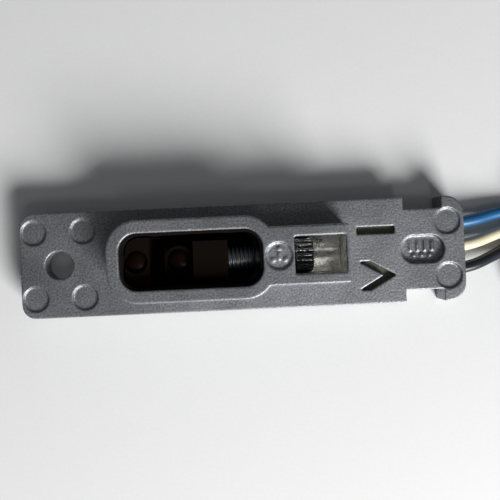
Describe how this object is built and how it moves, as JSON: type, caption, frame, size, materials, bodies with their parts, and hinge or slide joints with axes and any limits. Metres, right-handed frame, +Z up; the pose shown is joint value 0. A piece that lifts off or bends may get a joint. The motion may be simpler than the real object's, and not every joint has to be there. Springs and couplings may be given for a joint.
{
  "type": "photoelectric sensor",
  "caption": "Small die-cast photoelectric sensor with a screw-adjusted lens carriage in a collared light well, a finger wheel in a window, an ear with a fixing hole and flying leads.",
  "frame": {"origin": "middle of the underside of the body, without its leads", "axes": "+X along the body toward the leads, +Z up through the light well"},
  "size_m": [0.082, 0.0203, 0.008],
  "materials": {
    "housing": "as-cast grey die casting, matt",
    "base_cover": "matt black moulding",
    "cover_gasket": "matt rubber sheet",
    "cover_screws": "small steel screws",
    "circuit_board": "green laminate",
    "emitter_led": "clear package",
    "photodiode": "dark moulded package",
    "amplifier_chip": "black moulded package",
    "output_transistor": "black moulded package",
    "chip_capacitors": "ceramic",
    "chip_resistors": "ceramic, black top",
    "optics_frame": "matt black moulding",
    "well_liner": "matt very dark brown moulding",
    "emitter_lens": "tinted clear lens",
    "lens_carriage": "matt black moulding",
    "aperture_plate": "blackened sheet",
    "receiver_lens": "tinted clear lens",
    "adjuster_spindle": "blackened steel",
    "adjuster_wheel": "glossy black moulding",
    "retaining_clip": "spring steel",
    "spindle_seal": "rubber ring",
    "wire_grommet": "matt black rubber",
    "lead_conductors": "tinned copper",
    "blue_wire": "blue insulation",
    "white_wire": "cream insulation",
    "black_wire": "black insulation",
    "wire_coil": "outer shape of the coil of the three wires",
    "tinned_ends": "tinned strands"
  },
  "bodies": {
    "casing": {"housing": "housing", "base_cover": "base_cover", "cover_gasket": "cover_gasket", "cover_screws": "cover_screws", "circuit_board": "circuit_board", "emitter_led": "emitter_led", "photodiode": "photodiode", "amplifier_chip": "amplifier_chip", "output_transistor": "output_transistor", "chip_capacitors": "chip_capacitors", "chip_resistors": "chip_resistors", "optics_frame": "optics_frame", "well_liner": "well_liner", "emitter_lens": "emitter_lens", "wire_grommet": "wire_grommet", "lead_conductors": "lead_conductors", "blue_wire": "blue_wire", "white_wire": "white_wire", "black_wire": "black_wire", "wire_coil": "wire_coil", "tinned_ends": "tinned_ends"},
    "adjuster": {"adjuster_spindle": "adjuster_spindle", "adjuster_wheel": "adjuster_wheel", "retaining_clip": "retaining_clip", "spindle_seal": "spindle_seal"},
    "carriage": {"lens_carriage": "lens_carriage", "aperture_plate": "aperture_plate", "receiver_lens": "receiver_lens"}
  },
  "joints": [
    {"name": "adjuster_turn", "type": "hinge", "parent": "casing", "child": "adjuster", "pos_m": [0, 0, 0.0046], "axis": [1, 0, 0], "range_deg": [-900.5, 900.5]},
    {"name": "carriage_slide", "type": "slide", "parent": "casing", "child": "carriage", "axis": [1, 0, 0], "range_m": [-0.00125, 0.00125]}
  ],
  "couplings": [
    {"joint": "adjuster_turn", "follows": "carriage_slide", "rad_per_m": -12566}
  ]
}
